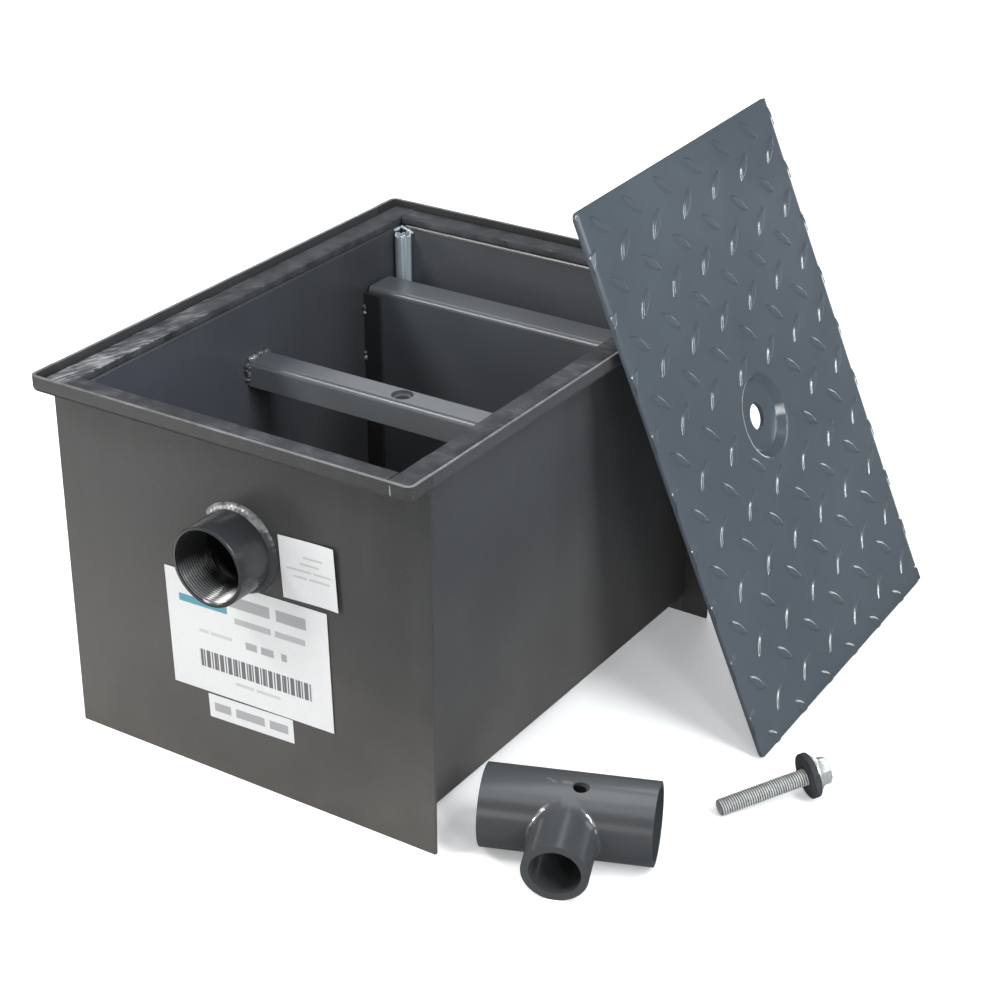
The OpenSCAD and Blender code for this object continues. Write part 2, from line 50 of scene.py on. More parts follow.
class Value:
    """A node's socket that can stand in a Python expression: each operation adds its node"""

    def __init__(self, socket):
        self.socket = socket

    def node(self, kind, settings=None, inputs=None, output=0):
        """Any other node: its settings are set first, then the values or links of its sockets"""
        tree = self.socket.id_data
        made = tree.nodes.new("ShaderNode" + kind)
        for name, setting in (settings or {}).items():
            setattr(made, name, setting)
        for name, value in (inputs or {}).items():
            if isinstance(value, Value):
                tree.links.new(value.socket, made.inputs[name])
            else:
                made.inputs[name].default_value = value
        return Value(made.outputs[output])

    def math(self, operation, first, second):
        return self.node("Math", {"operation": operation}, {0: first, 1: second})

    def __add__(self, other):
        return self.math("ADD", self, other)

    def __radd__(self, other):
        return self.math("ADD", other, self)

    def __sub__(self, other):
        return self.math("SUBTRACT", self, other)

    def __rsub__(self, other):
        return self.math("SUBTRACT", other, self)

    def __mul__(self, other):
        return self.math("MULTIPLY", self, other)

    def __rmul__(self, other):
        return self.math("MULTIPLY", other, self)

    def __truediv__(self, other):
        return self.math("DIVIDE", self, other)

    def __rtruediv__(self, other):
        return self.math("DIVIDE", other, self)

    def __or__(self, other):
        return self.math("MAXIMUM", self, other)

    def __and__(self, other):
        return self.math("MINIMUM", self, other)

    def __abs__(self):
        return self.math("ABSOLUTE", self, 0.0)

    def rise(self, low, high):
        """0 up to low, 1 from high on, smooth between; falls where low is the larger"""
        return self.node("MapRange", {"interpolation_type": "SMOOTHSTEP"},
                         {"Value": self, "From Min": low, "From Max": high})

    def mix(self, first, second):
        """The first colour where this value is 0, the second where it is 1"""
        return self.node("Mix", {"data_type": "RGBA"}, {0: self, 6: first, 7: second}, 2)

    def axes(self):
        return [self.node("SeparateXYZ", None, {0: self}, axis) for axis in range(3)]

    def stretched(self, x, y, z):
        return self.node("VectorMath", {"operation": "MULTIPLY"}, {0: self, 1: (x, y, z)})

    def noise(self, scale, detail=2.0, roughness=0.5):
        return self.node("TexNoise", None, {"Vector": self, "Scale": scale, "Detail": detail,
                                            "Roughness": roughness})

    def from_line(self, start, end):
        """How far a place lies from the straight line between two points"""
        along = Vector(end) - Vector(start)
        out = self.node("VectorMath", {"operation": "SUBTRACT"}, {0: self, 1: start})
        share = out.node("VectorMath", {"operation": "DOT_PRODUCT"}, {0: out, 1: along}, 1)
        share = ((share / along.length_squared) | 0.0) & 1.0
        foot = share.node("VectorMath", {"operation": "SCALE"}, {0: along, "Scale": share})
        return foot.node("VectorMath", {"operation": "DISTANCE"}, {0: out, 1: foot}, 1)


def colour(red, green, blue):
    return (red, green, blue, 1.0)


def new_finish(name):
    """An empty material, its shader, and the place on the piece in metres"""
    material = bpy.data.materials.new(name)
    material.use_nodes = True
    shader = material.node_tree.nodes["Principled BSDF"]
    coordinates = material.node_tree.nodes.new("ShaderNodeTexCoord")
    return material, shader, Value(coordinates.outputs["Object"])


def set_finish(shader, **sockets):
    """Links or sets the shader's sockets; the underscore in a name stands for a space"""
    for name, value in sockets.items():
        socket = shader.inputs[name.replace("_", " ")]
        if isinstance(value, Value):
            shader.id_data.links.new(value.socket, socket)
        else:
            socket.default_value = value


steel = colour(0.56, 0.57, 0.58)


def satin_paint(name, shade, gloss=0.3, bare=None, dust_and_floor_sheen=0.25, second=None):
    """Sprayed satin paint: soft mottling, dusty specks and streaks, a warm painted reflection of the floor
    low down, a fine orange peel, bare steel where bare says so, and another shade where second, a function
    and the shade, says so; the callers use that shade for painted light and painted shade"""
    material, shader, place = new_finish(name)
    cloud = place.noise(7.0, 4.0, 0.6).rise(0.3, 0.7)
    speck = place.noise(900.0, 2.0).rise(0.62, 0.72)
    streak = place.stretched(60.0, 60.0, 4.0).noise(1.0, 3.0).rise(0.45, 0.75)
    paint = cloud.mix(colour(*(0.86 * part for part in shade)), colour(*shade))
    if second:
        where, tone = second
        paint = where(place).mix(paint, cloud.mix(colour(*(0.86 * part for part in tone)), colour(*tone)))
    # Painted reflection of the pale floor: a warm, lighter tone low down, scaled with the dusty specks
    painted_floor_sheen = place.axes()[2].rise(0.2, -0.02) * (0.6 + 0.4 * cloud)
    paint = (painted_floor_sheen * (1.1 * dust_and_floor_sheen)).mix(paint, colour(0.15, 0.135, 0.12))
    paint = (speck * (0.35 * dust_and_floor_sheen)).mix(paint, colour(0.3, 0.3, 0.3))
    paint = (streak * cloud * (0.12 * dust_and_floor_sheen)).mix(paint, colour(0.22, 0.21, 0.2))
    rough = gloss + 0.05 * cloud + 0.08 * dust_and_floor_sheen * streak
    peel = place.noise(330.0, 2.0) + 0.35 * place.noise(1400.0, 1.0)
    metal = 0.0
    if bare:
        worn = bare(place)
        paint = worn.mix(paint, steel)
        rough = rough - 0.12 * worn
        metal = 0.85 * worn
        peel = peel - 1.2 * worn
    grain = peel.node("Bump", None, {"Strength": 0.16, "Distance": 0.0002, "Height": peel})
    set_finish(shader, Base_Color=paint, Roughness=rough, Metallic=metal, Normal=grain, IOR=1.5)
    return material


def add_piece(name, mesh, material, body="tank", stands_for=(), crease=38):
    """Puts a mesh into the scene as a piece of the object, smooth up to the crease angle"""
    mesh.materials.clear()
    mesh.materials.append(material)
    mesh.shade_smooth()
    mesh.set_sharp_from_angle(angle=math.radians(crease))
    piece = bpy.data.objects.new(name, mesh)
    bpy.context.scene.collection.objects.link(piece)
    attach(piece, body)
    if stands_for:
        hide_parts(*stands_for)
    return piece


def softened(node, width, material, body="tank"):
    """A copy of a solid with its sharp edges rounded as paint rounds them, which stands for the solid"""
    work = bmesh.new()
    work.from_mesh(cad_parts[node].data)
    bmesh.ops.remove_doubles(work, verts=work.verts, dist=1e-6)
    bmesh.ops.dissolve_limit(work, angle_limit=math.radians(0.5), verts=work.verts, edges=work.edges)
    sharp = [edge for edge in work.edges
             if edge.is_manifold and edge.calc_face_angle() > math.radians(40)]
    bmesh.ops.bevel(work, geom=sharp, offset=width, segments=2, profile=0.5, affect="EDGES",
                    clamp_overlap=True)
    mesh = bpy.data.meshes.new(node + "_painted")
    work.to_mesh(mesh)
    work.free()
    piece = add_piece(node + "_painted", mesh, material, body, [node], 50)
    weighted = piece.modifiers.new("even faces", "WEIGHTED_NORMAL")
    weighted.keep_sharp = True
    weighted.weight = 100
    return piece


tank_low, tank_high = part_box("tank_wrap")
sheet_t = 0.0025
ledge_w = 0.021
lip_high = 0.012
ledge_under = tank_high.z - lip_high


def inside_tank(place):
    """1 on the inner faces of walls and bottom, 0 outside and on the rim"""
    x, y, z = place.axes()
    half_sheet = sheet_t / 2
    blur = 0.0002
    wall = tank_high.x - ledge_w - half_sheet
    front = tank_low.y - half_sheet
    back = tank_high.y + half_sheet
    between_walls = abs(x).rise(wall + blur, wall - blur)
    between_plates = y.rise(front - blur, front) * y.rise(back + blur, back)
    return between_walls * between_plates * z.rise(ledge_under, ledge_under - 0.003)


def lit_inside_walls(place):
    """As above, fading from the outlet end towards the inlet end: where the wrap's inside takes painted light
    """
    return inside_tank(place) * (0.2 + 0.8 * place.axes()[1].rise(0.3, 0.0))


def rim_highlight_and_scratch(place):
    """Bare steel in broken patches along the rim's top edge, a painted highlight of that edge, and a scratch
    down the lip near its front corner
    """
    edge = place.axes()[2].rise(tank_high.z - 0.0005, tank_high.z - 0.0001)
    highlight_patches = place.noise(45.0, 4.0, 0.65).rise(0.25, 0.75)
    scratch = place.from_line((0.1379, -ledge_w, 0.2745), (0.1383, -ledge_w, 0.266))
    scratch = (scratch + 0.0006 * place.noise(900.0, 2.0)).rise(0.0009, 0.0005)
    return (0.22 * edge * highlight_patches) | (0.8 * scratch)


# Painted light: the tank's inside takes a lighter, bluer shade of the same paint, for the light that falls
# into it, and the end plates outside take a darker shade than the wrap, as painted shade.
wrap_paint = satin_paint("wrap paint", (0.047, 0.049, 0.052), 0.28, rim_highlight_and_scratch, 0.4,
                         (lit_inside_walls, (0.066, 0.072, 0.089)))
plate_paint = satin_paint("end plate paint", (0.038, 0.0385, 0.039), 0.28, rim_highlight_and_scratch, 0.42,
                          (inside_tank, (0.082, 0.088, 0.097)))
softened("tank_wrap", 0.0006, wrap_paint)
softened("outlet_end_plate", 0.0006, plate_paint)
softened("inlet_end_plate", 0.0006, plate_paint)

# The pipe connections: half couplings of forged steel, with a taper pipe thread cut inside, set through
# the end plates and welded round. They are painted with the tank; the bore is painted near black as painted
# shade, and the thread's crests low near the mouth show steel as painted light.


def turned(name, outline, steps, placed):
    """A mesh turned about its z axis; outline(angle) gives its closed section as (radius, z) points"""
    rings = [outline(math.tau * i / steps) for i in range(steps)]
    count = len(rings[0])
    points = []
    for i, ring in enumerate(rings):
        angle = math.tau * i / steps
        points += [placed @ Vector((r * math.cos(angle), r * math.sin(angle), z)) for r, z in ring]
    faces = []
    for i in range(steps):
        here = i * count
        there = (i + 1) % steps * count
        faces += [(here + j, there + j, there + (j + 1) % count, here + (j + 1) % count)
                  for j in range(count)]
    return closed_mesh(name, points, faces)


def closed_mesh(name, points, faces):
    """A mesh with doubled points merged and all faces turned outwards"""
    work = bmesh.new()
    corners = [work.verts.new(point) for point in points]
    for face in faces:
        if len(set(face)) > 2:
            work.faces.new([corners[i] for i in face])
    bmesh.ops.remove_doubles(work, verts=work.verts, dist=1e-7)
    bmesh.ops.dissolve_degenerate(work, edges=work.edges, dist=1e-7)
    bmesh.ops.recalc_face_normals(work, faces=work.faces)
    mesh = bpy.data.meshes.new(name)
    work.to_mesh(mesh)
    work.free()
    return mesh


pipe_height = 0.1835
coupling_out = 0.0325
coupling_long = 0.035
coupling_r = 0.0286
coupling_bore_r = 0.0246
mouth_depth = 0.0016
thread_pitch = 0.0254 / 11.5
thread_depth = 0.0013
thread_long = 0.033
edge_round = 0.0008
tank_middle = (tank_low.y + tank_high.y) / 2


def ridge(turn):
    """A thread's height over one turn: a rounded tooth from 0 to 1"""
    return 0.5 - 0.5 * math.cos(math.tau * turn)


def coupling_outline(angle):
    """Section of a coupling, from the end plate along the outside to the mouth and back down the thread"""
    points = [(coupling_bore_r, coupling_long), (coupling_r, coupling_long), (coupling_r, edge_round)]
    points += [(coupling_r - edge_round * 0.3, edge_round * 0.3), (coupling_r - edge_round, 0.0)]
    rows = int(thread_long / thread_pitch * 8)
    for row in range(rows + 1):
        z = thread_long * row / rows
        fading = min(1.0, (thread_long - z) / (2 * thread_pitch))
        cut = thread_depth * fading * ridge(z / thread_pitch - angle / math.tau)
        flare = max(0.0, mouth_depth - z)
        points.append((coupling_bore_r + max(cut, flare), z))
    return points


def lit_thread_crests(place):
    """1 on the thread's crests low in the bore near its mouth, which show steel as painted light"""
    x, y, z = place.axes()
    up = z - pipe_height
    crest = (x * x + up * up).rise((coupling_bore_r + 0.0012) ** 2, (coupling_bore_r + 0.0004) ** 2)
    mouth = tank_middle + coupling_out
    near_mouth = abs(y - tank_middle).rise(mouth - 0.024, mouth - 0.010)
    return crest * near_mouth * up.rise(-0.002, -0.016)


def shaded_bore(place):
    """1 in a coupling's bore apart from the lit crests, 0 on its outside: the bore's painted shade"""
    x, z = place.axes()[::2]
    up = z - pipe_height
    bore = (x * x + up * up).rise((coupling_bore_r + 0.0018) ** 2, (coupling_bore_r + 0.0014) ** 2)
    return bore * (1.0 - lit_thread_crests(place))


coupling_paint = satin_paint("coupling paint", (0.03, 0.032, 0.035), 0.2,
                             lambda place: 0.4 * lit_thread_crests(place), 0.1,
                             (shaded_bore, (0.007, 0.007, 0.007)))
inlet_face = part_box("inlet_end_plate")[1].y - ledge_w
outlet_axis = Matrix.Translation((0, -coupling_out, pipe_height)) @ Matrix.Rotation(-math.pi / 2, 4, "X")
inlet_axis = (Matrix.Translation((0, inlet_face + coupling_out, pipe_height))
              @ Matrix.Rotation(math.pi / 2, 4, "X"))
for end, axis in (("outlet", outlet_axis), ("inlet", inlet_axis)):
    threaded = turned(end + "_coupling_threaded", coupling_outline, 128, axis)
    add_piece(end + "_coupling_threaded", threaded, coupling_paint,
              stands_for=[end + "_coupling"], crease=30)

# The welds round the couplings: rippled fillet beads laid by hand on the end plates, painted, with flecks of
# bare metal on their upper half.
coupling_weld = 0.0045


def weld_outline(angle):
    """Section of a coupling's weld, whose size swells and shrinks a little with each ripple of the bead"""
    leg = coupling_weld * (0.86 + 0.02 * math.sin(52 * angle) + 0.06 * math.sin(5 * angle + 1.0))
    root = coupling_r + 0.0001
    points = [(root, coupling_out)]
    for step in range(6):
        turn = math.pi / 2 * step / 5
        swell = leg * (1 - 0.12 * math.sin(2 * turn))
        points.append((root + swell * math.cos(turn), coupling_out - swell * math.sin(turn)))
    return points


# Flecks of bare steel on the weld's upper half
def bare_on_top(place):
    height = place.axes()[2].rise(pipe_height + 0.002, pipe_height + 0.03)
    return 0.35 * (place.noise(130.0, 4.0) + 0.25 * height).rise(0.5, 0.8) * height


coupling_weld_paint = satin_paint("coupling weld", (0.036, 0.036, 0.037), 0.34, bare_on_top)
for end, axis in (("outlet", outlet_axis), ("inlet", inlet_axis)):
    ring = turned(end + "_coupling_bead", weld_outline, 240, axis)
    add_piece(end + "_coupling_bead", ring, coupling_weld_paint,
              stands_for=[end + "_coupling_weld"], crease=60)

# The crossbar that the cover bolts down to: a channel of the same sheet, open below, with a nut under its
# hole. It is welded to both side walls with short lumpy beads that were left almost bare.
bar_low, bar_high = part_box("crossbar")


def lit_bar_front(place):
    """1 on the crossbar's front face, which takes a lighter shade as painted light"""
    return place.axes()[1].rise(bar_low.y + 0.0012, bar_low.y + 0.0002)


# The crossbar's paint is lighter and bluer than the tank's, and lighter still on its front face: painted
# light for the light that falls into the tank.
bar_paint = satin_paint("crossbar paint", (0.081, 0.089, 0.1), 0.28, dust_and_floor_sheen=0.15,
                        second=(lit_bar_front, (0.156, 0.167, 0.174)))
softened("crossbar", 0.0007, bar_paint)


def zinc_plate(name, tint, gloss, metal=1.0, lit_share=None):
    """Bright zinc: fine cloudy crystals, small dull spots, and painted shade where its last argument falls to
    0
    """
    material, shader, place = new_finish(name)
    cloud = place.noise(120.0, 4.0, 0.6).rise(0.3, 0.7)
    dull = place.noise(420.0, 2.0).rise(0.55, 0.7)
    skin = cloud.mix(colour(*(0.82 * part for part in tint)), colour(*tint))
    skin = (0.5 * dull).mix(skin, colour(0.2, 0.2, 0.2))
    if lit_share:
        skin = lit_share(place).mix(colour(0.1, 0.1, 0.105), skin)
    grain = cloud.node("Bump", None, {"Strength": 0.1, "Distance": 0.0001, "Height": cloud})
    set_finish(shader, Base_Color=skin, Roughness=gloss + 0.08 * cloud, Metallic=metal, Normal=grain)
    return material


# The nut takes the crossbar's lighter paint: painted light in the shade of its hole.
softened("crossbar_nut", 0.0006, bar_paint)


def lumps(name, places, size, seed):
    """A mesh of overlapping drops of weld metal, one at each place"""
    chance = random.Random(seed)
    work = bmesh.new()
    for place in places:
        drop = size * chance.uniform(0.7, 1.15)
        shift = Vector([chance.uniform(-0.2, 0.2) * size for axis in range(3)])
        flat = Matrix.Diagonal([chance.uniform(0.75, 1.1) for axis in range(3)]).to_4x4()
        bmesh.ops.create_icosphere(work, subdivisions=3, radius=drop,
                                   matrix=Matrix.Translation(Vector(place) + shift) @ flat)
    mesh = bpy.data.meshes.new(name)
    work.to_mesh(mesh)
    work.free()
    return mesh


def along(start, end, count):
    """Evenly spaced points from one place to another"""
    return [Vector(start).lerp(Vector(end), i / (count - 1)) for i in range(count)]


bar_seams = []
for wall in (bar_low.x + 0.0012, bar_high.x - 0.0012):
    bar_seams += along((wall, bar_low.y + 0.003, bar_high.z), (wall, bar_high.y - 0.003, bar_high.z), 13)
    bar_seams += along((wall, bar_low.y, bar_low.z + 0.004), (wall, bar_low.y, bar_high.z - 0.003), 11)
    bar_seams += along((wall, bar_high.y, bar_low.z + 0.004), (wall, bar_high.y, bar_high.z - 0.003), 11)
bar_weld_paint = satin_paint("crossbar weld", (0.045, 0.046, 0.047), 0.3,
                             lambda place: 0.5 * place.noise(160.0, 3.0).rise(0.45, 0.62))
add_piece("crossbar_beads", lumps("crossbar_beads", bar_seams, 0.0024, 4), bar_weld_paint,
          stands_for=["crossbar_welds"], crease=80)

# The baffle guides: upright channels of thin sheet on both side walls, which the baffles slide in.
# They are tacked on with spots of weld and painted.
guide_paint = satin_paint("guide paint", (0.03, 0.031, 0.033), 0.3, dust_and_floor_sheen=0.15)
for guide in ("inlet_guide_left", "inlet_guide_right", "outlet_guide_left", "outlet_guide_right"):
    softened(guide, 0.0004, guide_paint)
guide_low, guide_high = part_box("inlet_guide_left")
tacks = [(guide_low.x + 0.0005, guide_low.y, guide_high.z - drop) for drop in (0.012, 0.016, 0.05, 0.054)]
add_piece("guide_tacks", lumps("guide_tacks", tacks, 0.0024, 9), bar_weld_paint, crease=80)

# The baffles: sheets with a flange folded over at the top, which lift straight up out of the guides.
# Their paint is lighter and bluer than the tank's: painted light for the light that falls into the tank.
baffle_paint = satin_paint("baffle paint", (0.095, 0.104, 0.113), 0.28, dust_and_floor_sheen=0.15)
softened("inlet_baffle", 0.0007, baffle_paint, "inlet_baffle")
softened("outlet_baffle", 0.0007, baffle_paint, "outlet_baffle")

# The air relief tube: a thin steel tube stood upright in the back corner, cut off roughly at the top.
# It is tacked to the walls and left bare; its pale bluish colour is painted reflection of the bright room,
# and the streaks up and down it are drawing marks that also stand as painted reflections.
tube_low, tube_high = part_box("air_relief_tube")
tube_r = (tube_high.x - tube_low.x) / 2
tube_wall = 0.0012


def tube_outline(angle):
    """Section of the tube, whose cut end rises and falls"""
    rough_cut = 0.0016 * (1 + 0.6 * math.sin(3 * angle + 0.7) + 0.4 * math.sin(11 * angle))
    top = tube_high.z - tube_low.z - rough_cut
    return [(tube_r, 0.0), (tube_r, top - 0.0004), (tube_r - 0.0004, top),
            (tube_r - tube_wall, top - 0.0003), (tube_r - tube_wall, 0.0)]


tube_steel, tube_shader, tube_place = new_finish("tube steel")
drawn_and_reflected_streaks = tube_place.stretched(900.0, 900.0, 12.0).noise(1.0, 3.0).rise(0.35, 0.7)
set_finish(tube_shader, Base_Color=drawn_and_reflected_streaks.mix(colour(0.34, 0.4, 0.44), colour(0.6, 0.67, 0.71)), Metallic=0.3,
           Roughness=0.3 + 0.15 * drawn_and_reflected_streaks)
tube_foot = Matrix.Translation((tube_low.x + tube_r, tube_low.y + tube_r, tube_low.z))
cut_tube = turned("air_relief_tube_cut", tube_outline, 72, tube_foot)
add_piece("air_relief_tube_cut", cut_tube, tube_steel, stands_for=["air_relief_tube"])
tube_seam = along((tube_low.x + 0.0005, tube_high.y - 0.009, tube_high.z + 0.0015),
                  (tube_low.x + 0.002, tube_high.y - 0.0008, tube_high.z + 0.002), 6)
tube_seam += along((tube_low.x + 0.003, tube_high.y - 0.0006, tube_high.z + 0.001),
                   (tube_low.x + 0.011, tube_high.y - 0.0006, tube_high.z - 0.001), 6)
add_piece("tube_tacks", lumps("tube_tacks", tube_seam, 0.0014, 21), tube_steel, crease=80)

# The gasket: four rubber strips glued onto the ledge inside the rim, cut by hand with ragged edges and
# still streaked with the white powder that keeps rubber from sticking.


def gasket_rubber(name, powder):
    """Matt black rubber with streaks of powder; powder(place) says where it lies"""
    material, shader, place = new_finish(name)
    cloud = place.noise(60.0, 4.0, 0.65).rise(0.3, 0.7)
    chalk = powder(place)
    skin = cloud.mix(colour(0.02, 0.021, 0.024), colour(0.05, 0.053, 0.06))
    skin = chalk.mix(skin, colour(0.55, 0.55, 0.56))
    pores = place.noise(900.0, 2.0)
    grain = pores.node("Bump", None, {"Strength": 0.3, "Distance": 0.0003, "Height": pores})
    set_finish(shader, Base_Color=skin, Roughness=0.65 + 0.15 * cloud + 0.1 * chalk, Normal=grain,
               Specular_IOR_Level=0.25)
    return material


def gasket_strip(node, along_axis, material, seed):
    """A strip with wavering edges in place of a straight one, inside the straight one's box"""
    chance = random.Random(seed)
    low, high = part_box(node)
    across_axis = 1 - along_axis
    length = high[along_axis] - low[along_axis]
    rows = int(length / 0.004)
    round_off = 0.0006
    points = []
    waver = [0.0, 0.0]
    for row in range(rows + 1):
        waver = [0.7 * old + chance.uniform(0, 0.0004) for old in waver]
        sink = chance.uniform(0, 0.00015)
        left = low[across_axis] + waver[0]
        right = high[across_axis] - waver[1]
        section = [(left, low.z), (left, high.z - round_off), (left + round_off, high.z - sink),
                   (right - round_off, high.z - sink), (right, high.z - round_off), (right, low.z)]
        for across, up in section:
            point = [0.0, 0.0, up]
            point[across_axis] = across
            point[along_axis] = low[along_axis] + length * row / rows
            points.append(point)
    count = len(section)
    faces = [tuple(range(count)), tuple(range(rows * count, rows * count + count))]
    for row in range(rows):
        here = row * count
        faces += [(here + j, here + (j + 1) % count, here + count + (j + 1) % count, here + count + j)
                  for j in range(count)]
    add_piece(node + "_cut", closed_mesh(node + "_cut", points, faces), material, stands_for=[node],
              crease=50)


gasket_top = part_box("gasket_left")[1].z


def left_powder(place):
    y, z = place.axes()[1:]
    slanted = place.node("VectorRotate", {"rotation_type": "Z_AXIS"}, {"Vector": place, "Angle": 0.35})
    streaks = slanted.stretched(640.0, 60.0, 1.0).noise(1.0, 4.0, 0.6)
    patches = place.stretched(1.0, 1.0, 0.0).noise(26.0, 3.0, 0.6)
    fading = y.rise(0.33, 0.02) * z.rise(gasket_top - 0.0014, gasket_top - 0.0004)
    return (streaks + 0.9 * patches + 0.25 * fading - 1.06).rise(0.0, 0.45) * (0.15 + 0.4 * fading)


def faint_powder(place):
    streaks = place.stretched(40.0, 300.0, 1.0).noise(1.0, 4.0, 0.6)
    patches = place.noise(30.0, 3.0, 0.6)
    return (streaks + patches - 1.05).rise(0.0, 0.4) * 0.12


powdered = gasket_rubber("powdered rubber", left_powder)
plain_rubber = gasket_rubber("gasket rubber", faint_powder)
gasket_strip("gasket_left", 1, powdered, 11)
gasket_strip("gasket_right", 1, plain_rubber, 12)
gasket_strip("gasket_front", 0, plain_rubber, 13)
gasket_strip("gasket_back", 0, plain_rubber, 14)

# The labels on the outlet plate: paper stickers, put on by hand a little askew, two lifting at the right.
# They are printed with plain bars and fields.


def field(s, t, left, right, low, high):
    """1 inside a rectangle of the label, 0 outside; all in metres"""
    edge = 0.0003
    return (s.rise(left, left + edge) * s.rise(right, right - edge)
            * t.rise(low, low + edge) * t.rise(high, high - edge))


def dashes(s, pitch, ink):
    """1 on evenly spaced dashes, of which ink is the inked share"""
    turns = s / pitch
    step = abs(turns.math("FRACT", turns, 0.0) - 0.5)
    return step.rise(ink / 2 + 0.04, ink / 2 - 0.04)


def words(s, t, low, high, *spans):
    """Plain bars between two heights, one for each span from left to right"""
    bars = s * 0.0
    for left, right in spans:
        bars = bars | field(s, t, left, right, low, high)
    return bars


def sticker(name, corner, width, height, turn, lift, curl, print_on):
    """A paper label on the outlet plate; corner is its lower left one, turn its tilt in degrees"""
    columns, rows = 24, 16
    points = []
    faces = []
    for row in range(rows + 1):
        for column in range(columns + 1):
            rise = lift + curl * (column / columns) ** 4
            points.append((width * column / columns, height * row / rows, rise))
            if row and column:
                here = row * (columns + 1) + column
                faces.append((here, here - 1, here - columns - 2, here - columns - 1))
    mesh = bpy.data.meshes.new(name)
    mesh.from_pydata(points, [], faces)
    material, shader, place = new_finish(name)
    s, t = place.axes()[:2]
    fibre = place.noise(500.0, 3.0)
    paper = fibre.mix(colour(0.47, 0.475, 0.48), colour(0.53, 0.535, 0.54))
    set_finish(shader, Base_Color=print_on(s, t, paper), Roughness=0.5 + 0.1 * fibre)
    piece = add_piece(name, mesh, material)
    upright = Matrix.Translation((corner[0], 0.0, corner[1])) @ Matrix.Rotation(math.pi / 2, 4, "X")
    piece.matrix_world = upright @ Matrix.Rotation(math.radians(turn), 4, "Z")
    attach(piece, "tank")


ink = colour(0.035, 0.035, 0.04)
teal = colour(0.02, 0.19, 0.27)


def main_print(s, t, paper):
    page = (0.9 * field(s, t, 0.0105, 0.052, 0.0655, 0.0715)).mix(paper, teal)
    title = words(s, t, 0.0722, 0.0812, (0.0540, 0.0885), (0.0935, 0.1185))
    second = words(s, t, 0.0600, 0.0650, (0.0575, 0.0885), (0.0915, 0.1170))
    left_words = words(s, t, 0.0455, 0.0483, (0.0260, 0.0345), (0.0360, 0.0545))
    right_words = words(s, t, 0.0430, 0.0490, (0.0655, 0.0755), (0.0785, 0.0895), (0.0955, 0.1005))
    stripes = field(s, t, 0.0245, 0.1200, 0.0190, 0.0325) * (dashes(s, 0.0023, 0.5) | dashes(s, 0.0059, 0.4))
    foot = words(s, t, 0.0118, 0.0146, (0.0545, 0.0700), (0.0720, 0.0925))
    grey = (0.5 * title) | (0.4 * second) | (0.25 * left_words) | (0.5 * right_words)
    grey = grey | (0.85 * stripes) | (0.25 * foot)
    return grey.mix(page, ink)


def side_print(s, t, paper):
    grey = words(s, t, 0.0320, 0.0338, (0.0190, 0.0350)) | words(s, t, 0.0270, 0.0288, (0.0160, 0.0320))
    grey = grey | words(s, t, 0.0220, 0.0238, (0.0045, 0.0250), (0.0265, 0.0415))
    grey = grey | words(s, t, 0.0170, 0.0188, (0.0100, 0.0210), (0.0225, 0.0400))
    return (0.3 * grey).mix(paper, ink)


def strip_print(s, t, paper):
    bars = words(s, t, 0.0055, 0.0125, (0.0045, 0.0190), (0.0230, 0.0480), (0.0520, 0.0680))
    return (0.5 * bars).mix(paper, ink)


sticker("label_strip", (-0.0332, 0.0433), 0.0724, 0.0183, 2.3, 0.0002, 0.0, strip_print)
sticker("label_main", (-0.0628, 0.0625), 0.1362, 0.0898, 1.6, 0.0004, 0.0003, main_print)
sticker("label_side", (0.0361, 0.1582), 0.0455, 0.0452, 3.2, 0.0006, 0.0016, side_print)

# The cover: tread plate with raised lenses in two directions, its sides and foot drooping from the shears,
# and a recess pressed in for the bolt. Painted a bluer satin charcoal; it leans on the rim, tread outwards.
half_w = 0.15025
cover_long = 0.404
cover_t = 0.004
corner_r = 0.005
margin_w = 0.009
side_w = 0.004
margin_drop = 0.0016
dish_middle = cover_long / 2
dish_r = 0.033
dish_flat_r = 0.024
dish_depth = 0.007
dish_round = 0.004
dish_sheet = 0.0036
hole_r = 0.00975
lens_long = 0.027
lens_wide = 0.008
lens_high = 0.0015
lens_pitch = 0.0466
row_pitch = 0.0213
lens_angle = 42
lens_shift = 0.0118
top_row = cover_long - 0.0145
cover_foot = (0.2717, 0.366, 0.0)
cover_turn = 92.6
cover_lean = 22.858
cover_frame = (Matrix.Translation(cover_foot) @ Matrix.Rotation(math.radians(cover_turn), 4, "Z")
               @ Matrix.Rotation(math.radians(90 - cover_lean), 4, "X"))


def on_plate(x, y):
    """The place itself, or the nearest one inside the plate's rounded outline"""
    x = max(-half_w, min(half_w, x))
    y = max(0.0, min(cover_long, y))
    centre_x = math.copysign(half_w - corner_r, x)
    centre_y = corner_r if y < cover_long / 2 else cover_long - corner_r
    out_x = x - centre_x
    out_y = y - centre_y
    far = math.hypot(out_x, out_y)
    if abs(x) > abs(centre_x) and (y < corner_r or y > cover_long - corner_r) and far > corner_r:
        return centre_x + out_x * corner_r / far, centre_y + out_y * corner_r / far
    return x, y


def face_height(x, y):
    """Height of the plate's tread face, which rolls off at the sides and the foot"""
    side = (abs(x) - half_w + side_w) / side_w
    foot = (margin_w - y) / margin_w
    drop = margin_drop * (0.5 if side > foot and x < 0 else 1.0)
    return cover_t - drop * max(0.0, side, foot) ** 1.5


def lens_share(x, y):
    """How much of a lens's height the shears left near the plate's sides and foot"""
    return 0.35 + 0.65 * max(0.0, min(1.0, (half_w - abs(x)) / margin_w, y / margin_w))


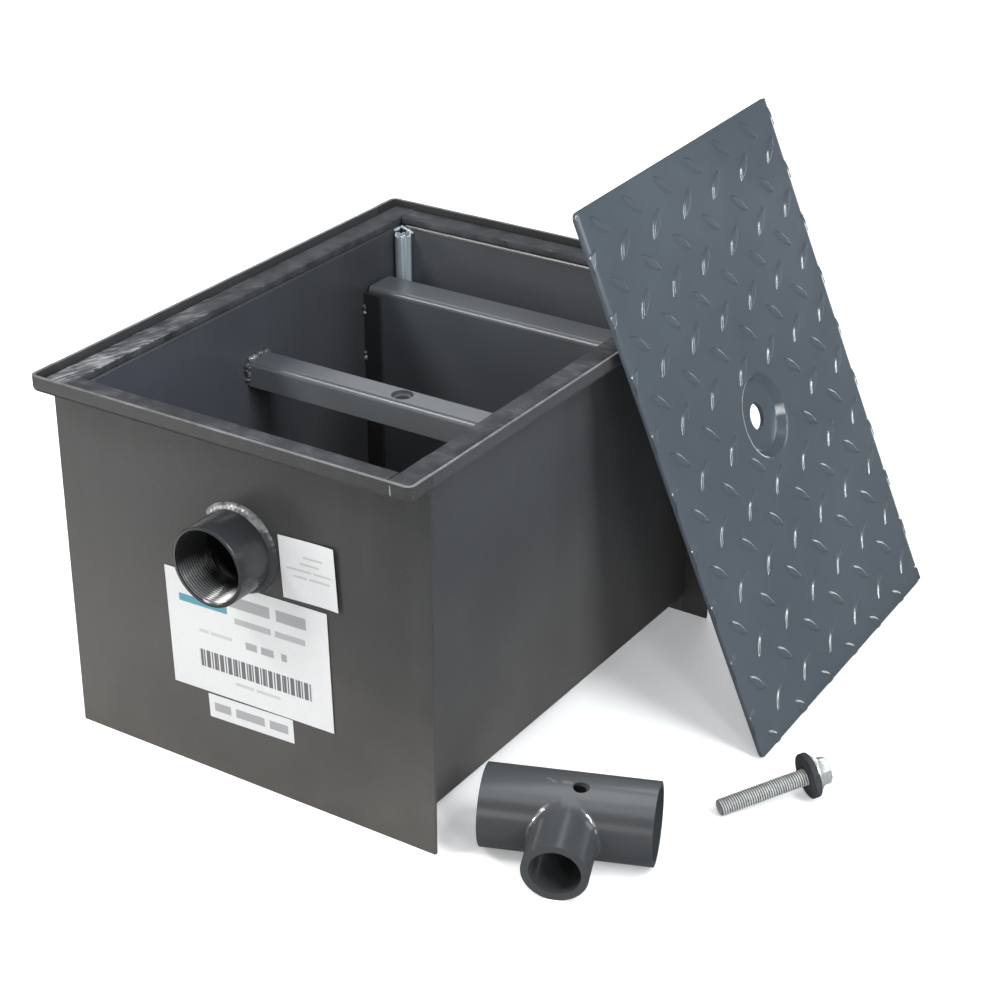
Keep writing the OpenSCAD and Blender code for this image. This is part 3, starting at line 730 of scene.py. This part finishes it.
def plate_faces(work):
    """The tread face round the recess, the plate's edge and its back, as one skin"""
    steps = [0.0, 0.0012, 0.0025, 0.004, 0.0055, 0.007, 0.009]
    columns = [step - half_w for step in steps] + [half_w - step for step in reversed(steps)]
    rows = steps + [cover_long - step for step in (0.005, 0.0035, 0.002, 0.001, 0.0)]
    bevel = 0.0005
    grid = []
    for y in rows:
        line = []
        for x in columns:
            px, py = on_plate(x, y)
            line.append(work.verts.new((px * (1 - bevel / half_w),
                                        (py - dish_middle) * (1 - 2 * bevel / cover_long) + dish_middle,
                                        face_height(px, py))))
        grid.append(line)
    middle_column = len(steps) - 1
    middle_row = len(steps) - 1
    for j in range(len(rows) - 1):
        for i in range(len(columns) - 1):
            if (i, j) != (middle_column, middle_row):
                work.faces.new((grid[j][i], grid[j][i + 1], grid[j + 1][i + 1], grid[j + 1][i]))
    window = [grid[middle_row][middle_column], grid[middle_row][middle_column + 1],
              grid[middle_row + 1][middle_column + 1], grid[middle_row + 1][middle_column]]
    around = (grid[0] + [line[-1] for line in grid[1:]] + grid[-1][-2::-1]
              + [line[0] for line in grid[-2:0:-1]])
    edge_rings = [around]
    for inset, height in ((0.0, None), (0.0, bevel), (bevel, 0.0)):
        ring = []
        for corner in around:
            x = corner.co.x / (1 - bevel / half_w) * (1 - inset / half_w)
            y = ((corner.co.y - dish_middle) / (1 - 2 * bevel / cover_long) * (1 - 2 * inset / cover_long)
                 + dish_middle)
            ring.append(work.verts.new((x, y, corner.co.z - bevel if height is None else height)))
        edge_rings.append(ring)
    for upper, lower in zip(edge_rings, edge_rings[1:]):
        for i in range(len(around)):
            j = (i + 1) % len(around)
            work.faces.new((upper[i], upper[j], lower[j], lower[i]))
    return window, edge_rings[-1]


def arc(r, z, radius, start, end, count=7):
    """Points of a circular arc of a turned section, angles in radians"""
    angles = [start + (end - start) * i / (count - 1) for i in range(count)]
    return [(r + radius * math.cos(angle), z + radius * math.sin(angle)) for angle in angles]


def recess_rings(work, count=96):
    """The recess turned about its middle, from the tread face down to the hole and back up behind"""
    low = cover_t - dish_depth
    slope = math.atan2(dish_depth, dish_r - dish_flat_r)
    right_angle = math.pi / 2
    section = arc(dish_r, cover_t - dish_round, dish_round, right_angle, right_angle + slope)
    section += arc(dish_flat_r, low + dish_round, dish_round, 3 * right_angle + slope, 3 * right_angle)
    hole_soft = 0.0004
    back_spread = 0.00135
    section += [(hole_r + hole_soft, low), (hole_r, low - hole_soft), (hole_r, low - dish_sheet)]
    section += arc(dish_flat_r, low + dish_round, dish_round + dish_sheet, 3 * right_angle,
                   3 * right_angle + slope)
    section += [(dish_r + back_spread, 0.0)]
    rings = []
    for r, z in section:
        rings.append([work.verts.new((r * math.cos(math.tau * i / count),
                                      dish_middle + r * math.sin(math.tau * i / count), z))
                      for i in range(count)])
    for outer, inner in zip(rings, rings[1:]):
        for i in range(count):
            j = (i + 1) % count
            work.faces.new((outer[i], outer[j], inner[j], inner[i]))
    return rings[0], rings[-1]


def fill_between(work, outline, hole):
    """Closes the flat area between an outline and a hole"""
    edges = []
    for loop in (outline, hole):
        for first, second in zip(loop, loop[1:] + loop[:1]):
            edges.append(work.edges.get((first, second)) or work.edges.new((first, second)))
    bmesh.ops.triangle_fill(work, use_beauty=True, edges=edges)


def add_lens(work, x, y, angle):
    """One raised lens: a leaf between two arcs with a narrow slope up to a flat top"""
    side = (lens_long ** 2 - lens_wide ** 2) / (4 * lens_wide)
    ground = side + lens_wide / 2
    slope = ((0.0, -0.6), (0.0, 0.0), (0.00025, 0.08), (0.0007, 0.36), (0.0012, 0.74), (0.0016, 0.95),
             (0.0019, 1.0))
    rings = []
    for inset, share in slope:
        radius = ground - inset
        reach = math.sqrt(radius ** 2 - side ** 2)
        ring = []
        for way in (1, -1):
            for i in range(14):
                s = way * reach * math.cos(math.pi * i / 14)
                t = way * (math.sqrt(radius ** 2 - s ** 2) - side)
                px, py = on_plate(x + s * math.cos(angle) - t * math.sin(angle),
                                  y + s * math.sin(angle) + t * math.cos(angle))
                ring.append(work.verts.new((px, py, face_height(px, py)
                                            + share * lens_high * lens_share(px, py))))
        rings.append(ring)
    for lower, upper in zip(rings, rings[1:]):
        for i in range(len(lower)):
            j = (i + 1) % len(lower)
            work.faces.new((lower[i], lower[j], upper[j], upper[i]))
    work.faces.new(rings[-1])
    work.faces.new(rings[0][::-1])


cover_work = bmesh.new()
window, back_edge = plate_faces(cover_work)
rim_ring, back_ring = recess_rings(cover_work)
fill_between(cover_work, window, rim_ring)
fill_between(cover_work, back_edge, back_ring)
for first_row, shift, turn in ((top_row, lens_shift, -lens_angle),
                               (top_row - row_pitch, lens_shift - lens_pitch / 2, lens_angle)):
    angle = math.radians(turn)
    way = Vector((math.cos(angle), math.sin(angle)))
    for k in range(10):
        for i in range(-4, 5):
            centre = Vector((shift + i * lens_pitch, first_row - 2 * k * row_pitch))
            to_dish = Vector((0.0, dish_middle)) - centre
            nearest = to_dish - way * max(-lens_long / 2, min(lens_long / 2, to_dish.dot(way)))
            on_cover = abs(centre.x) < half_w + 0.008 and -0.006 < centre.y < cover_long + 0.006
            if on_cover and nearest.length > dish_r + lens_wide / 4:
                add_lens(cover_work, centre.x, centre.y, angle)
bmesh.ops.dissolve_degenerate(cover_work, edges=cover_work.edges, dist=1e-6)
bmesh.ops.recalc_face_normals(cover_work, faces=cover_work.faces)
bmesh.ops.transform(cover_work, matrix=cover_frame, verts=cover_work.verts)
cover_mesh = bpy.data.meshes.new("cover_tread")
cover_work.to_mesh(cover_mesh)
cover_work.free()
cover_paint = satin_paint("cover paint", (0.065, 0.078, 0.093), 0.15, dust_and_floor_sheen=0.04)
cover = add_piece("cover_tread", cover_mesh, cover_paint, stands_for=["cover_plate"],
                  crease=45)
even = cover.modifiers.new("even faces", "WEIGHTED_NORMAL")
even.keep_sharp = True

# The cover bolt with its sealing washer: a zinc-plated flange bolt threaded along its whole length, with a
# thick black rubber washer under the flange. They lie on the floor.
bolt_r = 0.006
bolt_pitch = 0.00175
bolt_thread = 0.00085
bolt_long = 0.070
washer_r = 0.016
washer_t = 0.005
flange_r = 0.013
flange_t = 0.002
cone_high = 0.0039
head_flat = 0.009
head_high = 0.011
tip = 0.001
flange_soft = 0.0004
bolt_x = 0.2863
bolt_y = 0.141
bolt_turn = 53.6
bolt_tilt = math.atan2(washer_r - bolt_r, bolt_long - washer_t - tip)
bolt_up = bolt_r * math.cos(bolt_tilt) - tip * math.sin(bolt_tilt)
bolt_frame = (Matrix.Translation((bolt_x, bolt_y, bolt_up)) @ Matrix.Rotation(math.radians(bolt_turn), 4, "Z")
              @ Matrix.Rotation(math.pi / 2 - bolt_tilt, 4, "Y"))


def bolt_outline(angle):
    """Section of the bolt at an angle: tip, thread, flange and hexagon head"""
    points = [(0.0, 0.0), (bolt_r - tip, 0.0)]
    threaded = bolt_long - washer_t
    rows = int(threaded / bolt_pitch * 8)
    for row in range(1, rows + 1):
        z = threaded * row / rows
        r = bolt_r - bolt_thread * ridge(z / bolt_pitch - angle / math.tau)
        points.append((min(r, bolt_r - tip + z), z))
    points += [(bolt_r, bolt_long), (flange_r - flange_soft, bolt_long), (flange_r, bolt_long + flange_soft)]
    points += [(flange_r, bolt_long + flange_t - flange_soft)]
    hexagon = head_flat / math.cos(angle % (math.pi / 3) - math.pi / 6)
    for up in (0.0021, 0.003, 0.004, 0.005, 0.0059, 0.007, 0.0085, 0.0095, 0.0102, 0.0107, head_high):
        cone = flange_r - (flange_r - head_flat) * (up - flange_t) / cone_high
        chamfer = head_flat - 0.0002 + head_high - up
        points.append((max(cone, min(hexagon, chamfer)), bolt_long + up))
    return points + [(0.0, bolt_long + head_high)]


def bolt_lit_share(place):
    """Painted shade on the bolt: 0 in the roots of its thread, 1 on the crests, 0.6 on the head and 0.5 on
    the flat tip
    """
    out = place.from_line(bolt_frame @ Vector((0, 0, -0.02)), bolt_frame @ Vector((0, 0, bolt_long + 0.03)))
    root = bolt_r - bolt_thread
    return (out.rise(root, bolt_r - 0.0001) - 0.4 * out.rise(bolt_r, bolt_r + 0.001)
            + 0.5 * out.rise(root - 0.0001, root - 0.0004))


bolt_zinc = zinc_plate("bolt zinc", (0.86, 0.87, 0.86), 0.28, 0.5, bolt_lit_share)
threaded_bolt = turned("cover_bolt_threaded", bolt_outline, 72, bolt_frame)
add_piece("cover_bolt_threaded", threaded_bolt, bolt_zinc, stands_for=["cover_bolt"], crease=32)


def washer_outline(angle):
    """Section of the washer, with rounded edges"""
    start = bolt_long - washer_t
    end = bolt_long - 0.0001
    soft = 0.0008
    return [(bolt_r + 0.0001, start), (washer_r - soft, start), (washer_r - 0.3 * soft, start + 0.3 * soft),
            (washer_r, start + soft), (washer_r, end - soft), (washer_r - 0.3 * soft, end - 0.3 * soft),
            (washer_r - soft, end), (bolt_r + 0.0001, end)]


washer_rubber = gasket_rubber("washer rubber", lambda place: place.noise(300.0, 3.0).rise(0.6, 0.8) * 0.05)
round_washer = turned("sealing_washer_round", washer_outline, 72, bolt_frame)
add_piece("sealing_washer_round", round_washer, washer_rubber, stands_for=["sealing_washer"])

# The flow control fitting: two pipes welded into a tee, with a slanted air hole in the run and an orifice
# plate inside. Painted satin charcoal, lighter on top as painted light, with bare streaks at the branch's
# root as painted highlights of the weld and one beside the air hole.
run_r = 0.028
branch_r = 0.02225
branch_reach = 0.0585
tee_tilt = math.asin(run_r / math.hypot(branch_reach, branch_r)) - math.atan2(branch_r, branch_reach)
tee_x = 0.223
tee_y = 0.0535
tee_turn = 21.4
tee_frame = (Matrix.Translation((tee_x, tee_y, run_r)) @ Matrix.Rotation(math.radians(tee_turn), 4, "Z")
             @ Matrix.Rotation(tee_tilt, 4, "X"))


def streaks_and_highlights(place):
    """Bare streaks: painted highlights of the weld at the branch's root, and one beside the air hole"""
    marks = place.axes()[0] * 0.0
    strokes = (((0.2103, 0.0455, 0.0558), (0.2170, 0.0451, 0.0554), 0.0005),
               ((0.2142, 0.0214, 0.0387), (0.2190, 0.0268, 0.0451), 0.0006),
               ((0.2448, 0.0373, 0.0449), (0.2530, 0.0351, 0.0354), 0.0006),
               ((0.2215, 0.0478, 0.0556), (0.2252, 0.0492, 0.0558), 0.0008))
    broken = place.noise(420.0, 3.0)
    for start, end, width in strokes:
        gap = place.from_line(start, end)
        marks = marks | (gap + 0.0012 * (broken - 0.5)).rise(1.6 * width, 0.6 * width)
    return marks


def lit_upper_side(place):
    """1 on top of the fitting, 0 on its lower half: the top takes a lighter shade as painted light"""
    return place.axes()[2].rise(0.043, 0.057)


fitting_paint = satin_paint("fitting paint", (0.033, 0.038, 0.043), 0.2, streaks_and_highlights, 0.12,
                            (lit_upper_side, (0.075, 0.083, 0.09)))
softened("flow_control_run", 0.0005, fitting_paint)
softened("flow_control_branch", 0.0005, fitting_paint)
softened("orifice_plate", 0.0004, zinc_plate("orifice zinc", (0.4, 0.41, 0.42), 0.35))


def saddle(r, angle):
    """How far from the run's axis the run's surface lies under a point of the branch's round"""
    return math.sqrt(run_r ** 2 - (r * math.sin(angle)) ** 2)


tee_points = []
tee_faces = []
turns = 160
section_count = 11
for i in range(turns):
    angle = math.tau * i / turns
    wave = 1 + 0.06 * math.sin(23 * angle) + 0.05 * math.sin(9 * angle + 2)
    foot_r = branch_r + 0.0028 * wave
    foot = Vector((foot_r, saddle(foot_r, angle) - 0.0001))
    root = Vector((branch_r + 0.0005, saddle(branch_r, angle) + 0.0008))
    top = Vector((branch_r, saddle(branch_r, angle) + 0.0062 * wave))
    section = [foot.lerp(root, k / 9).lerp(root.lerp(top, k / 9), k / 9) for k in range(10)]
    section.append(Vector((branch_r - 0.0008, saddle(branch_r, angle) - 0.0012)))
    tee_points += [tee_frame @ Vector((r * math.cos(angle), -out, r * math.sin(angle))) for r, out in section]
    here = i * section_count
    there = (i + 1) % turns * section_count
    tee_faces += [(here + j, there + j, there + (j + 1) % section_count, here + (j + 1) % section_count)
                  for j in range(section_count)]
add_piece("flow_control_bead", closed_mesh("flow_control_bead", tee_points, tee_faces), fitting_paint,
          stands_for=["flow_control_weld"], crease=60)

# The studio: a plain pale floor that brightens far out, soft lamps and the camera. Reflections look
# through the floor, so that the backdrop and the floor sheen, which lie partly or wholly below it,
# mirror in the paint.
floor_half = 40
floor_mesh = bpy.data.meshes.new("floor")
floor_mesh.from_pydata([(-floor_half, -floor_half, 0), (floor_half, -floor_half, 0),
                        (floor_half, floor_half, 0), (-floor_half, floor_half, 0)], [], [(0, 1, 2, 3)])
floor = bpy.data.objects.new("floor", floor_mesh)
bpy.context.scene.collection.objects.link(floor)
floor_finish, floor_shader, floor_place = new_finish("pale floor")
drift = floor_place.noise(1.5, 3.0).rise(0.3, 0.7)
far_out = floor_place.from_line((0, 0, 0), (0, 0.4, 0)).rise(1.2, 3.2)
floor_shade = drift.mix(colour(0.92, 0.91, 0.90), colour(0.94, 0.93, 0.92))
# The floor glows though it is no lamp: faintly near the object, painted light that lifts the shadows there,
# and white far out.
floor_glow = far_out.mix(colour(0.29, 0.295, 0.3), colour(0.97, 0.98, 1.0))
set_finish(floor_shader, Base_Color=floor_shade, Roughness=0.7, Emission_Color=floor_glow,
           Emission_Strength=1.0)
floor_mesh.materials.append(floor_finish)
floor.visible_glossy = False

sky = bpy.data.worlds.new("studio")
sky.use_nodes = True
sky_light = sky.node_tree.nodes["Background"]
sky_light.inputs["Color"].default_value = colour(0.86, 0.93, 1.0)
sky_light.inputs["Strength"].default_value = 0.1
bpy.context.scene.world = sky


def soft_box(name, place, target, width, height, power, tint, upright=(0, 0, 1)):
    """A rectangular soft lamp that looks at a point, its height along the upright"""
    lamp = bpy.data.lights.new(name, "AREA")
    lamp.shape = "RECTANGLE"
    lamp.size = width
    lamp.size_y = height
    lamp.energy = power
    lamp.color = tint
    holder = bpy.data.objects.new(name, lamp)
    back = (Vector(place) - Vector(target)).normalized()
    across = Vector(upright).cross(back).normalized()
    turn = Matrix((across, back.cross(across), back)).transposed()
    holder.matrix_world = Matrix.Translation(place) @ turn.to_4x4()
    bpy.context.scene.collection.objects.link(holder)


centre_point = (0.06, 0.16, 0.15)
soft_box("front left", (-1.2, -1.1, 2.0), centre_point, 0.6, 0.6, 36.0, (1.0, 0.99, 0.98))
soft_box("left low", (-1.6, -0.9, 0.7), centre_point, 0.8, 0.8, 22.0, (1.0, 0.98, 0.96))
soft_box("front high", (0.3, -1.3, 2.2), centre_point, 1.0, 1.0, 5.0, (1.0, 1.0, 1.0))
soft_box("front low", (0.3, -2.2, 0.5), centre_point, 1.2, 0.7, 6.0, (1.0, 0.98, 0.95))
soft_box("right strip", (1.62, -0.12, 1.55), (0.2, 0.3, 0.2), 0.17, 1.7, 41.0, (0.94, 0.98, 1.0),
         (-0.54, 0.42, 0.73))
soft_box("right low", (1.45, -0.85, 0.85), (0.2, 0.36, 0.19), 0.16, 0.7, 7.4, (0.95, 0.98, 1.0))
soft_box("right back", (1.9, 1.5, 1.2), (0.2, 0.3, 0.15), 1.0, 1.0, 13.0, (0.93, 0.97, 1.0))
soft_box("overhead", (0.0, 0.1, 2.0), centre_point, 1.2, 1.2, 10.0, (0.97, 0.99, 1.0))
soft_box("back high", (-1.3, 2.1, 1.5), centre_point, 1.4, 1.0, 5.0, (0.95, 0.98, 1.0))
soft_box("backdrop", (0.1, 2.2, -0.05), (0.1, 0.0, -0.05), 1.3, 0.8, 15.0, (0.95, 0.98, 1.0))
soft_box("floor sheen", (-0.82, -0.62, -0.3), (-0.14, 0.0, 0.18), 0.5, 0.4, 0.9, (1.0, 0.96, 0.92))
soft_box("far floor", (-1.2, 2.3, 2.4), (-1.2, 2.29, 0.0), 2.0, 2.0, 32.0, (1.0, 1.0, 1.0))

camera_azimuth = math.radians(33.05)
camera_elevation = math.radians(26.98)
camera_place = Vector((0.86046, -1.01065, 0.88844))
focal_pixels = 2296.28
frame_pixels = 1000
camera_data = bpy.data.cameras.new("camera")
camera_data.sensor_width = 36.0
camera_data.lens = focal_pixels / frame_pixels * camera_data.sensor_width
camera_data.clip_end = 50.0
camera = bpy.data.objects.new("camera", camera_data)
camera.location = camera_place
camera.rotation_euler = (math.pi / 2 - camera_elevation, 0.0, camera_azimuth)
bpy.context.scene.collection.objects.link(camera)
bpy.context.scene.camera = camera
bpy.context.scene.view_settings.view_transform = "Standard"
